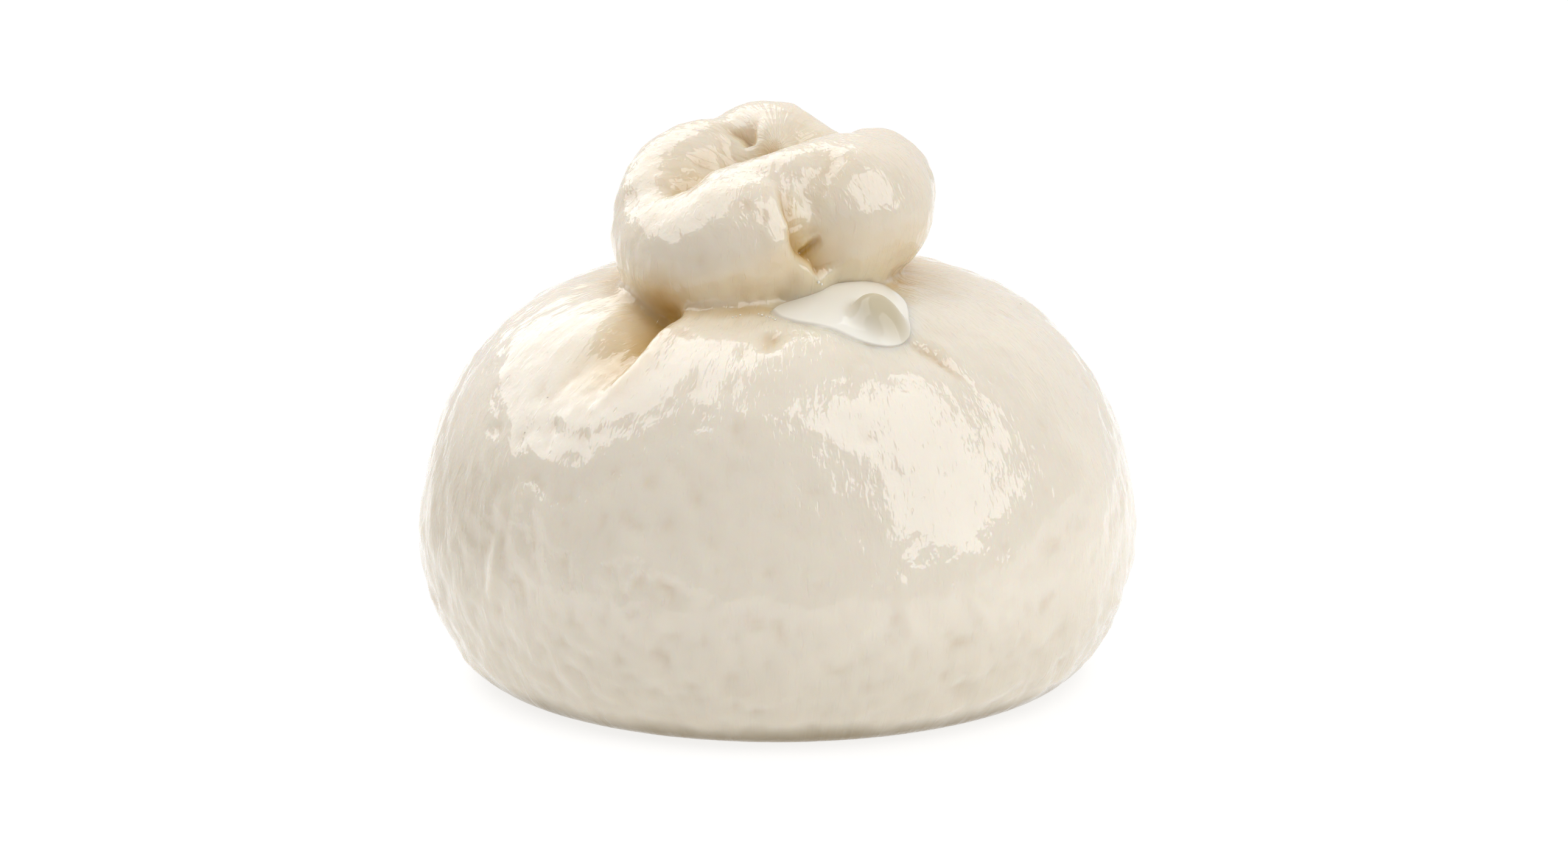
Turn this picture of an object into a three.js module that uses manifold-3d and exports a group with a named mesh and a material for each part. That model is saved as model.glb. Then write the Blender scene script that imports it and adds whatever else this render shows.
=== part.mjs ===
// A fresh burrata with a little of its cream leaking out under the knot.
//
// The cheese is one skin of stretched curd drawn into a pouch, its neck gathered, twisted
// and folded over on itself.  The pouch is a slack, slightly oval dome standing on a flat
// foot.  The knot is built from thick rounded lobes round a core: a strand across the front,
// its return round the left, a lobe on the right, a lobe at the back and a strand under it.
//
// Millimetres, +X right, +Y to the back, +Z up, foot on z = 0.

import * as THREE from 'three';
import { mergeVertices } from 'three/addons/utils/BufferGeometryUtils.js';
import Module from 'manifold-3d';

const wasm = await Module();
wasm.setup();

// Pouch
const WIDE = 90;
const DEEP = 87;
const FOOT_RADIUS = 36.3;
const WIDEST_HEIGHT = 18;
const DOME_HEIGHT = 51.5;
const SIDE_POWER = { radial: 1.5, vertical: 1.77 };
const DOME_POWER = { radial: 3.5, vertical: 1.79 };
const SIDE_ROWS = 10;
const DOME_ROWS = 28;
const POUCH_AROUND = 80;

// The dome sags under the weight of the knot, most at the front left
const SAG_REACH = 17;
const SAG_LEAST = 0.5;
const SAG_EXTRA = 4;
const SAG_TOWARDS = THREE.MathUtils.degToRad(-120);

// Knot: each lobe follows a spline of x, y, z and radius
const FRONT_STRAND = [
  [-13.6, -2.0, 55.6, 7.2],
  [-11.8, -7.2, 54.6, 7.6],
  [-7.6, -10.2, 55.2, 8.1],
  [-3.6, -10.4, 57.0, 8.5],
  [-0.2, -11.4, 55.0, 7.7],
  [2.2, -11.8, 53.0, 5.2],
];
const RETURN_STRAND = [
  [-13.0, -1.0, 57.8, 7.4],
  [-12.0, 3.2, 60.4, 6.9],
  [-8.0, 6.0, 62.3, 6.3],
  [-5.0, 5.0, 62.0, 5.0],
];
const RIGHT_LOBE = [
  [3.4, -7.6, 59.4, 7.0],
  [5.4, -7.4, 58.8, 8.1],
  [7.8, -6.4, 58.8, 8.8],
  [10.5, -3.8, 58.9, 8.8],
  [12.0, 1.5, 60.0, 7.9],
];
// runs over from the front strand into the right lobe
const RIM = [
  [-4.4, -9.2, 58.6, 6.8],
  [-1.0, -8.6, 60.6, 5.9],
  [2.0, -7.8, 61.2, 5.9],
  [5.0, -5.8, 61.0, 6.9],
];
const RIGHT_BELLY = [
  [4.6, -9.0, 56.5, 6.6],
  [8.2, -7.4, 55.8, 7.0],
  [10.6, -3.0, 56.4, 6.2],
];
const BACK_LOBE = [
  [-6.0, 8.0, 61.2, 6.6],
  [-1.5, 8.6, 62.4, 8.0],
  [3.2, 7.6, 61.0, 7.0],
];
// tucked under the other lobes at the back, bedded on the pouch
const LOWER_STRAND = [
  [-9.0, 3.0, 55.0, 7.6],
  [-4.0, 7.6, 55.2, 8.0],
  [3.0, 8.0, 55.0, 8.2],
  [8.4, 3.0, 54.8, 7.2],
];
// curd that fills the knot from inside, up from the neck of the pouch
const CORE = [
  [0, 0, 44, 9.0],
  [-0.5, 1.0, 58.5, 7.5],
];
const FILLING = [
  [0.5, -6.5, 50.0, 7.5],
  [2.4, -8.4, 56.5, 6.0],
];
const LOBE_ROWS = 24;
const LOBE_AROUND = 26;
const END_SHARE = 0.3;

// Folds drawn in towards a point inside: a line, its depth and how far it reaches to its
// left and right, seen from outside; a negative depth raises a ridge
const POUCH_MIDDLE = [0, 0, 25];
const FOLDS = [
  // hollow behind the rim, where the return strand dives under it
  { line: [[-15.6, -8.8, 60.0], [-8.0, -6.0, 62.8], [-2.6, -2.0, 65.2]],
    towards: [-7, -2, 45], depth: 3.2, left: 7, right: 3 },
  // valley between the front strand and the right lobe
  { line: [[0.3, -15.8, 61.5], [1.8, -16.4, 57.1], [4.9, -16.1, 52.0]],
    towards: [2, 0, 58], depth: 1.6, left: 3, right: 4 },
  // pit half way down that valley
  { line: [[2.6, -15.6, 56.0], [3.0, -15.4, 54.9]], towards: [4, 0, 57], depth: 2, left: 3.5, right: 3.5 },
  // deep pleat running down the front left of the pouch, and its crest
  { line: [[-11.6, -17.0, 48.8], [-17.7, -26.0, 45.1], [-24.2, -29.2, 38.2]],
    towards: POUCH_MIDDLE, depth: 4, left: 4, right: 10 },
  { line: [[-11.2, -18.6, 48.7], [-16.0, -26.7, 45.2], [-20.8, -29.2, 41.0]],
    towards: POUCH_MIDDLE, depth: -0.9, left: 4, right: 2.5 },
];
const FOLD_STEPS = 24;
const FOLD_POWER = 1.4;

// Cream: a pool with this rim in plan, thicker where the knot stands in it and under a drop
const POOL_CENTRE = [7.5, -16.0];
const POOL_RIM = [
  [-1.0, -20.8],
  [3.9, -24.4],
  [10.2, -26.8],
  [15.8, -23.6],
  [15.5, -15.5],
  [12.6, -6.0],
  [0.0, -12.0],
];
const FILM = 0.75;
const CLIMB = { x: 7.5, y: -12.5, tall: 2.5, reach: 6 };
const DROP = { x: 12.9, y: -20.9, long: 4.4, short: 3.3, tall: 2.3, turn: THREE.MathUtils.degToRad(-32) };
const POOL_DEPTH = 3;
const POOL_AROUND = 48;
const POOL_ROWS = 12;
const CREAM_GAP = 0.35;

// Softening where lobes run into each other, above the shoulder of the pouch
const SOFT_ABOVE = 44;
const SKIN_SOFTENING = 3;
const FOLD_SOFTENING = 2;
const CREAM_SOFTENING = 1;

// Closed surface from rings: row 0 and the last row are single points
function closedSurface(rows, around, pointAt) {
  const positions = [...pointAt(0, 0)];
  for (let row = 1; row < rows; row += 1) {
    for (let step = 0; step < around; step += 1) {
      positions.push(...pointAt(row, (2 * Math.PI * step) / around));
    }
  }
  positions.push(...pointAt(rows, 0));
  const last = positions.length / 3 - 1;
  const at = (row, step) => 1 + (row - 1) * around + (step % around);
  const faces = [];
  for (let step = 0; step < around; step += 1) {
    faces.push(0, at(1, step + 1), at(1, step));
    faces.push(last, at(rows - 1, step), at(rows - 1, step + 1));
    for (let row = 1; row < rows - 1; row += 1) {
      faces.push(at(row, step), at(row, step + 1), at(row + 1, step));
      faces.push(at(row + 1, step), at(row, step + 1), at(row + 1, step + 1));
    }
  }
  const geometry = new THREE.BufferGeometry();
  geometry.setAttribute('position', new THREE.Float32BufferAttribute(positions, 3));
  geometry.setIndex(faces);
  return geometry;
}

// Half outline of the pouch from the middle of the foot to the top, as radius and height
function pouchProfile() {
  const profile = [[0, 0]];
  for (let row = 0; row < SIDE_ROWS; row += 1) {
    const turn = (1 - row / SIDE_ROWS) * (Math.PI / 2);
    const out = Math.cos(turn) ** (2 / SIDE_POWER.radial);
    const down = Math.sin(turn) ** (2 / SIDE_POWER.vertical);
    profile.push([FOOT_RADIUS + (WIDE / 2 - FOOT_RADIUS) * out, WIDEST_HEIGHT * (1 - down)]);
  }
  for (let row = 0; row < DOME_ROWS; row += 1) {
    const turn = (row / DOME_ROWS) * (Math.PI / 2);
    const out = Math.cos(turn) ** (2 / DOME_POWER.radial);
    const up = Math.sin(turn) ** (2 / DOME_POWER.vertical);
    profile.push([(WIDE / 2) * out, WIDEST_HEIGHT + (DOME_HEIGHT - WIDEST_HEIGHT) * up]);
  }
  profile.push([0, DOME_HEIGHT]);
  return profile;
}

function sag(x, y) {
  const near = Math.exp(-(x * x + y * y) / SAG_REACH ** 2);
  const facing = 0.5 + 0.5 * Math.cos(Math.atan2(y, x) - SAG_TOWARDS);
  return near * (SAG_LEAST + SAG_EXTRA * facing);
}

function pouch() {
  const profile = pouchProfile();
  return closedSurface(profile.length - 1, POUCH_AROUND, (row, angle) => {
    const [radius, height] = profile[row];
    const x = radius * Math.cos(angle);
    const y = radius * Math.sin(angle) * (DEEP / WIDE);
    return [x, y, height > WIDEST_HEIGHT ? height - sag(x, y) : height];
  });
}

// Height of the dome over x, y: the upper outline solved for its angle
function domeHeight(x, y) {
  const out = Math.min(1, Math.hypot(x, (y * WIDE) / DEEP) / (WIDE / 2));
  const turn = Math.acos(out ** (DOME_POWER.radial / 2));
  const swell = (DOME_HEIGHT - WIDEST_HEIGHT) * Math.sin(turn) ** (2 / DOME_POWER.vertical);
  return WIDEST_HEIGHT + swell - sag(x, y);
}

function splineOf(points, closed = false) {
  const vectors = points.map(([x, y, z = 0]) => new THREE.Vector3(x, y, z));
  return new THREE.CatmullRomCurve3(vectors, closed, 'catmullrom', 0.5);
}

// Rounded strand swept along a spline; past either end the rings close as half a ball
function lobe(path, up = [0, 0, 1]) {
  const centreLine = splineOf(path.map((point) => point.slice(0, 3)));
  const radiusLine = splineOf(path.map((point) => [point[3], 0, 0]));
  const upright = new THREE.Vector3(...up);
  return closedSurface(LOBE_ROWS, LOBE_AROUND, (row, angle) => {
    const run = (row / LOBE_ROWS) * (1 + 2 * END_SHARE) - END_SHARE;
    const along = THREE.MathUtils.clamp(run, 0, 1);
    const turn = ((run - along) / END_SHARE) * (Math.PI / 2);
    const ahead = centreLine.getTangent(along);
    const across = new THREE.Vector3().crossVectors(ahead, upright).normalize();
    const over = new THREE.Vector3().crossVectors(ahead, across);
    const radius = radiusLine.getPoint(along).x;
    return centreLine
      .getPoint(along)
      .addScaledVector(ahead, radius * Math.sin(turn))
      .addScaledVector(across, radius * Math.cos(turn) * Math.cos(angle))
      .addScaledVector(over, radius * Math.cos(turn) * Math.sin(angle))
      .toArray();
  });
}

// Step that one fold takes a point inward
function foldStep(point, { spots, towards, depth, left, right }) {
  spots.forEach((spot) => { spot.distance = spot.at.distanceTo(point); });
  const nearest = spots.reduce((best, spot) => (spot.distance < best.distance ? spot : best));
  const inward = towards.clone().sub(point).normalize();
  const offset = point.clone().sub(nearest.at);
  const onLeft = new THREE.Vector3().crossVectors(nearest.ahead, offset).dot(inward) < 0;
  const closeness = Math.max(0, 1 - nearest.distance / (onLeft ? left : right));
  return inward.multiplyScalar(depth * nearest.fade * closeness ** FOLD_POWER);
}

// Spots along each fold line, fading towards its lower end
function tracedFolds() {
  return FOLDS.map((fold) => {
    const spline = splineOf(fold.line);
    const spots = Array.from({ length: FOLD_STEPS + 1 }, (_, step) => {
      const along = step / FOLD_STEPS;
      const fade = THREE.MathUtils.smoothstep(1 - along, -0.3, 0.5);
      return { at: spline.getPoint(along), ahead: spline.getTangent(along), fade };
    });
    return { ...fold, towards: new THREE.Vector3(...fold.towards), spots };
  });
}

// Moves every point by the step that stepAt gives for it and its outward normal
function moved(geometry, stepAt) {
  const result = geometry.clone();
  result.computeVertexNormals();
  const position = result.getAttribute('position');
  const normal = result.getAttribute('normal');
  const point = new THREE.Vector3();
  const outward = new THREE.Vector3();
  for (let index = 0; index < position.count; index += 1) {
    point.fromBufferAttribute(position, index);
    outward.fromBufferAttribute(normal, index);
    point.add(stepAt(point, outward));
    position.setXYZ(index, point.x, point.y, point.z);
  }
  return result;
}

// Draws each high point halfway to the middle of its neighbours, as a soft skin rounds off
// where two lobes meet
function relax(geometry, rounds) {
  const position = geometry.getAttribute('position');
  const corners = geometry.index.array;
  const neighbours = Array.from({ length: position.count }, () => new Set());
  for (let index = 0; index < corners.length; index += 3) {
    for (let side = 0; side < 3; side += 1) {
      const from = corners[index + side];
      const to = corners[index + ((side + 1) % 3)];
      neighbours[from].add(to);
      neighbours[to].add(from);
    }
  }
  const middle = new THREE.Vector3();
  const point = new THREE.Vector3();
  for (let round = 0; round < rounds; round += 1) {
    const before = position.clone();
    neighbours.forEach((around, index) => {
      middle.set(0, 0, 0);
      around.forEach((other) => middle.add(point.fromBufferAttribute(before, other)));
      middle.divideScalar(around.size);
      point.fromBufferAttribute(before, index);
      if (point.z > SOFT_ABOVE) {
        point.lerp(middle, 0.5);
        position.setXYZ(index, point.x, point.y, point.z);
      }
    });
  }
  geometry.computeVertexNormals();
  return geometry;
}

function toSolid(geometry) {
  const welded = geometry.clone();
  welded.deleteAttribute('normal');
  welded.deleteAttribute('uv');
  const clean = mergeVertices(welded);
  const mesh = new wasm.Mesh({
    numProp: 3,
    vertProperties: Float32Array.from(clean.getAttribute('position').array),
    triVerts: Uint32Array.from(clean.index.array),
  });
  return new wasm.Manifold(mesh);
}

function toGeometry(solid) {
  const { vertProperties, triVerts } = solid.getMesh();
  const geometry = new THREE.BufferGeometry();
  geometry.setAttribute('position', new THREE.Float32BufferAttribute(vertProperties, 3));
  geometry.setIndex(Array.from(triVerts));
  geometry.computeVertexNormals();
  return geometry;
}

function join(geometries) {
  return geometries.map(toSolid).reduce((whole, solid) => whole.add(solid));
}

// The outermost skin alone: closed pockets between the lobes fill up, stray crumbs go
function largestPiece(solid) {
  return solid.decompose().reduce((largest, piece) => (piece.volume() > largest.volume() ? piece : largest));
}

function cheese() {
  const upright = [CORE, FILLING].map((path) => lobe(path, [0, 1, 0]));
  const lying = [FRONT_STRAND, RETURN_STRAND, RIGHT_LOBE, RIM, RIGHT_BELLY, BACK_LOBE, LOWER_STRAND];
  const skins = [pouch(), ...upright, ...lying.map((path) => lobe(path))];
  const whole = relax(toGeometry(largestPiece(join(skins))), SKIN_SOFTENING);
  const folded = tracedFolds().reduce((skin, fold) => moved(skin, (point) => foldStep(point, fold)), whole);
  return relax(folded, FOLD_SOFTENING);
}

// Flat-bottomed drop, longer one way than the other
function dropHeight(x, y) {
  const along = (x - DROP.x) * Math.cos(DROP.turn) + (y - DROP.y) * Math.sin(DROP.turn);
  const across = (y - DROP.y) * Math.cos(DROP.turn) - (x - DROP.x) * Math.sin(DROP.turn);
  const inside = 1 - (along / DROP.long) ** 2 - (across / DROP.short) ** 2;
  return DROP.tall * Math.max(0, inside) ** 0.7;
}

// The pool before the skin is taken out of it: a rounded lid over a flat underside
function pool() {
  const rim = splineOf(POOL_RIM, true);
  const [middleX, middleY] = POOL_CENTRE;
  return closedSurface(POOL_ROWS, POOL_AROUND, (row, angle) => {
    const tilt = (1 - row / POOL_ROWS) * Math.PI;
    const out = Math.sin(tilt);
    const edge = rim.getPoint(angle / (2 * Math.PI));
    const x = middleX + (edge.x - middleX) * out;
    const y = middleY + (edge.y - middleY) * out;
    const base = domeHeight(x, y);
    if (tilt > Math.PI / 2 + 1e-6) {
      return [x, y, base - POOL_DEPTH];
    }
    const climb = CLIMB.tall * Math.exp(-((x - CLIMB.x) ** 2 + (y - CLIMB.y) ** 2) / CLIMB.reach ** 2);
    const film = FILM * Math.sqrt(1 - out ** 6);
    return [x, y, base + film + climb + dropHeight(x, y)];
  });
}

// The cream is what is left of the pool outside the skin
function cream(skin) {
  const room = toSolid(moved(skin, (point, outward) => outward.multiplyScalar(CREAM_GAP)));
  const left = largestPiece(toSolid(pool()).subtract(room));
  return relax(toGeometry(left), CREAM_SOFTENING);
}

function part(name, geometry, color, roughness) {
  const material = new THREE.MeshStandardMaterial({ color, roughness, metalness: 0 });
  const mesh = new THREE.Mesh(geometry, material);
  mesh.name = name;
  return mesh;
}

const skin = cheese();
const burrata = new THREE.Group();
burrata.name = 'fresh_burrata';
burrata.add(part('burrata', skin, '#f0e6d5', 0.32));
burrata.add(part('cream', cream(skin), '#f3ebdb', 0.12));

export default burrata;
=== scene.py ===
# %% [markdown]
# # A fresh burrata
#
# Burrata is a pouch of stretched curd filled with shreds of curd in cream.  The cheesemaker
# gathers the neck of the pouch, twists it and folds it over, so the whole cheese is one
# continuous wet skin.  This lesson builds that skin from two kinds of surface, fuses them
# into one closed body, presses the folds into it, and then adds the cream that leaks out.

# %% Load the frame
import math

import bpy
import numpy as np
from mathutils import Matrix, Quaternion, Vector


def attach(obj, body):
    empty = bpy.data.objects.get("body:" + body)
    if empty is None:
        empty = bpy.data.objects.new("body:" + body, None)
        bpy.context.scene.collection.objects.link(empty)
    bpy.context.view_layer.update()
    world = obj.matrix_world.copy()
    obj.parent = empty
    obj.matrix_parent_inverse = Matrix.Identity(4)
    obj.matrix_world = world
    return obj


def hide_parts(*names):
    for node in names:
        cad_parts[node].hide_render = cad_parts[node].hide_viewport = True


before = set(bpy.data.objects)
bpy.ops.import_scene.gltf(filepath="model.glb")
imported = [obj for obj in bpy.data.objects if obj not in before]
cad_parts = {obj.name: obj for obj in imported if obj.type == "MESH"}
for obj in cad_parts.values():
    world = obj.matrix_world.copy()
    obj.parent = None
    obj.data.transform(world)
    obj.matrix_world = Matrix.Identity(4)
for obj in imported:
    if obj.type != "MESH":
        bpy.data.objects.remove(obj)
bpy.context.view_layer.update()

# %% [markdown]
# ## Working units and small helpers
#
# The surfaces are worked out in millimetres, as a cheese is a few centimetres across, and
# turned into metres only when a mesh is made.  Three helpers come back in every step: a
# spline through points, unit vectors, and a soft step from 0 to 1.

MM = 0.001


def unit(vectors):
    """Each vector divided by its length."""
    return vectors / np.maximum(np.linalg.norm(vectors, axis=-1, keepdims=True), 1e-9)


def soft_step(value, low, high):
    """0 below low, 1 above high, and 3t^2 - 2t^3 in between, where t runs from 0 to 1."""
    t = np.clip((value - low) / (high - low), 0, 1)
    return t * t * (3 - 2 * t)


def spline(points, t):
    """Uniform Catmull-Rom spline through the points, at t from 0 to 1.

    Each stretch is the cubic that leaves a point along half the step from the point before
    to the point after; the line is carried on straight beyond both ends.
    """
    p = np.asarray(points, float)
    p = np.vstack([2 * p[0] - p[1], p, 2 * p[-1] - p[-2]])
    place = np.clip(np.asarray(t, float), 0, 1) * (len(p) - 3)
    stretch = np.minimum(place.astype(int), len(p) - 4)
    s = (place - stretch)[:, None]
    a, b, c, d = (p[stretch + k] for k in range(4))
    return 0.5 * (2 * b + (c - a) * s + (2 * a - 5 * b + 4 * c - d) * s**2 + (3 * b - a - 3 * c + d) * s**3)


# %% [markdown]
# ## From a grid of points to a closed mesh
#
# Every surface below is a grid: rows run from one pole to the other and columns run round.
# A whole grid of quads costs one array of indices.  The first and last rows shrink to a
# point, so they are closed with triangles round a single vertex.

# %% Closed mesh from a grid
def closed_mesh(name, grid):
    """Mesh from rows of rings: quads between rings, triangles to one point at each pole.

    Quad (i, j) joins points (i, j), (i, j+1), (i+1, j+1), (i+1, j) with j counted round.
    """
    rows, around = grid.shape[:2]
    rings = grid[1:-1].reshape(-1, 3)
    points = np.vstack([rings, grid[0].mean(0), grid[-1].mean(0)])
    i, j = np.meshgrid(np.arange(rows - 3), np.arange(around), indexing="ij")
    k = (j + 1) % around
    quads = np.stack([i * around + j, i * around + k, (i + 1) * around + k, (i + 1) * around + j], -1)
    j = np.arange(around)
    k = (j + 1) % around
    base = (rows - 3) * around
    first = np.stack([np.full(around, len(points) - 2), k, j], -1)
    last = np.stack([np.full(around, len(points) - 1), base + j, base + k], -1)
    faces = quads.reshape(-1, 4).tolist() + first.tolist() + last.tolist()
    mesh = bpy.data.meshes.new(name)
    mesh.from_pydata((points * MM).tolist(), [], faces)
    mesh.update()
    piece = bpy.data.objects.new(name, mesh)
    bpy.context.scene.collection.objects.link(piece)
    return piece


# %% [markdown]
# ## The pouch
#
# A soft bag of cream settles under its own weight: the top spreads into a broad shoulder,
# the widest girth sits low and the skin turns in to a flat foot.  Two superellipse quarters
# share the girth, one above and one below, and the powers set how square each one is.
# Under the knot the dome sags, most at the front left where the knot leans.

# %% Pouch surface
WIDE, DEEP = 90.0, 87.0
FOOT_RADIUS, WIDEST_HEIGHT, DOME_HEIGHT = 36.3, 18.0, 51.5
SIDE_OUT, SIDE_UP = 1.5, 1.77
DOME_OUT, DOME_UP = 3.5, 1.79
SAG_REACH, SAG_LEAST, SAG_EXTRA = 17.0, 0.5, 4.0
SAG_TOWARDS = math.radians(-120)


def sag(x, y):
    """How far the dome sinks at x, y: a bell round the middle, deeper towards one side.

    exp(-(r / reach)^2) times the least sag plus the extra times a half cosine of the angle.
    """
    facing = 0.5 + 0.5 * np.cos(np.arctan2(y, x) - SAG_TOWARDS)
    return np.exp(-(x * x + y * y) / SAG_REACH**2) * (SAG_LEAST + SAG_EXTRA * facing)


def pouch_grid(foot_rows=12, side_rows=60, dome_rows=140, around=360):
    """Pouch as a function of the way up its outline and the angle round it.

    Below the girth: radius = foot + (half width - foot) cos(u)^(2 / side out) and
    height = girth (1 - sin(u)^(2 / side up)), with u falling from 90 degrees to 0.
    Above it: radius = half width cos(u)^(2 / dome out) and height =
    girth + (top - girth) sin(u)^(2 / dome up) - sag, with u rising from 0 to 90 degrees.
    """
    low = np.linspace(1, 0, side_rows, endpoint=False) * np.pi / 2
    high = np.linspace(0, 1, dome_rows) * np.pi / 2
    foot = np.linspace(0, FOOT_RADIUS, foot_rows, endpoint=False)
    half = WIDE / 2
    side = FOOT_RADIUS + (half - FOOT_RADIUS) * np.cos(low) ** (2 / SIDE_OUT)
    dome = half * np.maximum(np.cos(high), 0) ** (2 / DOME_OUT)
    radius = np.concatenate([foot, side, dome])[:, None]
    rise = WIDEST_HEIGHT * (1 - np.sin(low) ** (2 / SIDE_UP))
    swell = WIDEST_HEIGHT + (DOME_HEIGHT - WIDEST_HEIGHT) * np.sin(high) ** (2 / DOME_UP)
    height = np.concatenate([foot * 0, rise, swell])[:, None]
    angle = np.linspace(0, 2 * np.pi, around, endpoint=False)[None]
    x = radius * np.cos(angle)
    y = radius * np.sin(angle) * DEEP / WIDE
    z = height - np.where(height > WIDEST_HEIGHT, sag(x, y), 0)
    return np.stack([x, y, z], -1)


def dome_height(x, y):
    """Height of the dome over x, y: the upper outline solved for its angle, less the sag."""
    out = np.clip(np.hypot(x, y * WIDE / DEEP) / (WIDE / 2), 0, 1)
    angle = np.arccos(out ** (DOME_OUT / 2))
    swell = (DOME_HEIGHT - WIDEST_HEIGHT) * np.sin(angle) ** (2 / DOME_UP)
    return WIDEST_HEIGHT + swell - sag(x, y)


pouch = closed_mesh("pouch", pouch_grid())
print("pouch:", len(pouch.data.vertices), "points")

# %% [markdown]
# ## Folds are pressed in
#
# The curd is pinched where it was pulled together.  Each fold is a line on the surface that
# pushes it in along its normal, strongest on the line and fading to nothing at the given
# reach, with a separate reach for each side so that one wall can be steep and the other
# gentle.  A negative depth raises a ridge in the same way.  The deep pleat is pressed into
# the pouch before the knot is joined on, so that the knot hangs over it as it does for real.

# %% Press one fold
def read(mesh, what="co"):
    """Whole array of a mesh's points or normals, points in millimetres."""
    values = np.empty(len(mesh.vertices) * 3)
    mesh.vertices.foreach_get(what, values)
    return values.reshape(-1, 3) / (MM if what == "co" else 1)


def write(mesh, points):
    """Puts the points, in millimetres, back into the mesh."""
    mesh.vertices.foreach_set("co", (points * MM).ravel())
    mesh.update()


def laid_on(piece, path, rounds=20):
    """Nearest points of the piece to the path, and the normals there, evened out along it."""
    hits = [piece.closest_point_on_mesh(Vector(p * MM)) for p in path]
    outward = np.array([hit[2] for hit in hits])
    for _ in range(rounds):
        before, after = np.vstack([outward[:1], outward[:-1]]), np.vstack([outward[1:], outward[-1:]])
        outward = (before + outward + after) / 3
    return np.array([hit[1] for hit in hits]) / MM, unit(outward)


def press(piece, points, line, depth, left, right=None, power=2.0, ends=(0.25, 0.25), fold_shade=0.0):
    """The way every point moves for one fold, its painted shade, and where the bottom of the fold runs.

    A point moves depth (1 - distance / reach)^power inward, along the normal at its nearest
    sample of the line, so the walls of a fold can't cross.  left and right are the reach on
    either side as one walks along the line on the outside, as one number or from its start to
    its end; ends are the shares of its length where it fades in and out.
    """
    t = np.linspace(0, 1, 24 * len(line))
    path, outward = laid_on(piece, spline(line, t))
    right = left if right is None else right
    left, right = (np.linspace(*np.broadcast_to(either, 2), len(t)) for either in (left, right))
    reach = max(left.max(), right.max())
    low, high = path.min(0) - reach, path.max(0) + reach
    near = np.nonzero(((points > low) & (points < high)).all(1))[0]
    gaps = np.linalg.norm(points[near, None] - path[None], axis=-1)
    best, gap = gaps.argmin(1), gaps.min(1)
    ahead = unit(np.gradient(path, axis=0))[best]
    side = (np.cross(outward[best], ahead) * (points[near] - path[best])).sum(1)
    band = 0.4 * min(left.min(), right.min())
    width = right[best] + (left - right)[best] * soft_step(side, -band, band)
    fade = soft_step(t, 0, max(ends[0], 1e-3)) * soft_step(1 - t, 0, max(ends[1], 1e-3))
    share = fade[best] * np.clip(1 - gap / width, 0, 1) ** power
    move, shade_share = np.zeros_like(points), np.zeros(len(points))
    move[near] = -depth * share[:, None] * outward[best]
    shade_share[near] = fold_shade * share
    return move, shade_share, path - depth * fade[:, None] * outward


# %% [markdown]
# ## The deep pleat
#
# Where the neck was drawn tight the shoulder folds into one deep pleat that runs down from
# under the knot.  Two crests stand up beside it, and a shallow trough lies beyond them.
# Each is one given line, pressed or raised in the way just shown.

# %% The deep pleat and its crests
PLEAT = [
    (-12.3, -14.0, 48.8), (-13.7, -17.4, 48.4), (-15.3, -20.6, 47.6), (-17.1, -23.4, 46.3),
    (-19.0, -25.7, 44.6), (-21.0, -27.3, 42.6), (-22.7, -28.4, 40.5), (-24.2, -29.2, 38.2),
]
FRONT_CREST = [
    (-12.7, -18.6, 48.4), (-13.7, -20.9, 48.1), (-15.3, -24.3, 46.7), (-16.8, -26.7, 44.9),
    (-19.2, -28.4, 42.8), (-20.8, -29.2, 41.0),
]
BACK_CREST = [(-16.0, -13.2, 48.4), (-19.6, -15.4, 46.9), (-22.1, -18.8, 45.6), (-24.5, -21.5, 43.7)]
TROUGH = [
    (-19.1, -19.8, 44.9), (-21.3, -21.6, 44.2), (-23.7, -23.1, 43.1), (-26.5, -24.0, 41.2),
    (-29.2, -23.5, 39.3), (-31.5, -22.3, 37.8),
]
PLEATS = [
    dict(line=PLEAT, depth=4.6, left=2.8, right=(8.0, 10.0), power=1.1, ends=(0.02, 0.85)),
    dict(line=FRONT_CREST, depth=-0.9, left=3.0, right=1.6, power=1.5, ends=(0.2, 0.6)),
    dict(line=BACK_CREST, depth=-0.8, left=3.0, power=1.5, ends=(0.1, 0.6)),
    dict(line=TROUGH, depth=0.6, left=3.2, right=3.6, power=1.5, ends=(0.35, 0.5)),
]
points = read(pouch.data)
presses = [press(pouch, points, **fold) for fold in PLEATS]
write(pouch.data, points + sum(move for move, _, _ in presses))
pleat_bottom = presses[0][2]
print("pleat bottom from", pleat_bottom[0].round(1), "to", pleat_bottom[-1].round(1))

# %% [markdown]
# ## The knot
#
# The twisted neck folds over into thick rounded lobes round a small pit.  Each lobe is a
# round strand that follows a spline and swells or thins along it, closed by half balls, so
# one short row of x, y, z and radius steers the whole lobe.

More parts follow.
